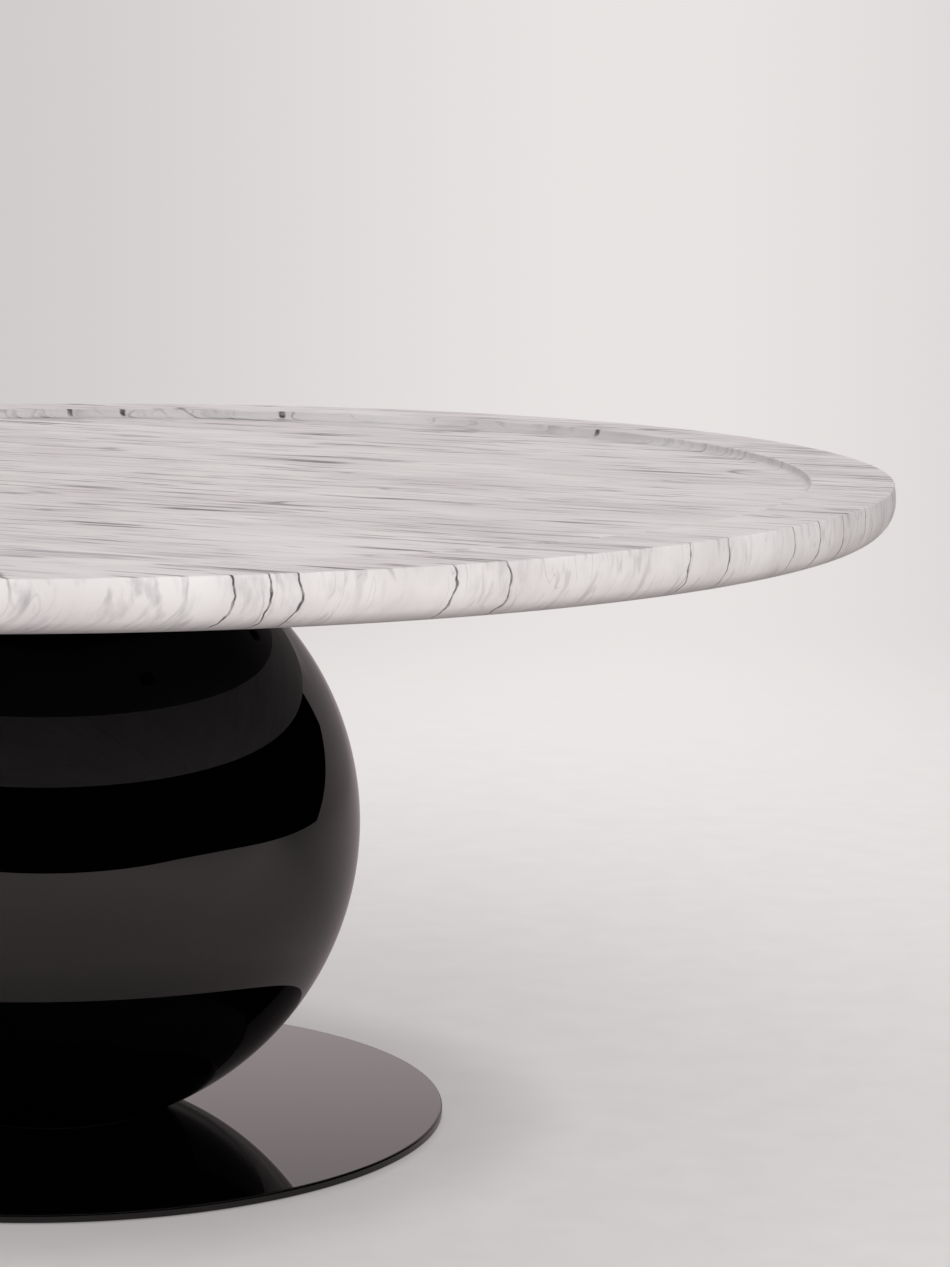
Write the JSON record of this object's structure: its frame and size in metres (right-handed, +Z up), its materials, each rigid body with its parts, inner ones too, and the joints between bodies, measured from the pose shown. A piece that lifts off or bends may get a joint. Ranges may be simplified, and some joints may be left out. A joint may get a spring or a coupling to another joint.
{
  "type": "round cocktail table",
  "caption": "Low round table: a white marble top with a shallow tray, on a large gloss black ball that stands on a thin round floor plate.",
  "frame": {"origin": "on the floor, on the table's vertical axis", "axes": "+Z up along the table's axis; the table is round, so X and Y are free"},
  "size_m": [1.0599, 1.06, 0.4161],
  "materials": {
    "marble": "honed white marble with grey veins",
    "ball_lacquer": "black gloss lacquer, polished",
    "plate_lacquer": "black gloss lacquer",
    "screw_black": "black zinc",
    "steel": "mill finish",
    "brass": "turned",
    "rubber": "matt",
    "nylon": "turned",
    "pad_rubber": "ground matt"
  },
  "bodies": {
    "root": {"marble_top": "marble", "threaded_inserts": "brass", "cushion_sheet": "rubber", "top_plate": "plate_lacquer", "top_screws": "screw_black", "top_washers": "screw_black", "plate_screws": "steel", "upper_seal": "rubber", "upper_shell": "ball_lacquer", "joint_ring": "steel", "lower_shell": "ball_lacquer", "lower_seal": "rubber", "upper_centring_ring": "nylon", "lower_centring_ring": "nylon", "column_tube": "steel", "upper_flange": "steel", "lower_flange": "steel", "base_plate": "plate_lacquer", "base_screws": "steel", "floor_pad": "pad_rubber"}
  },
  "joints": []
}
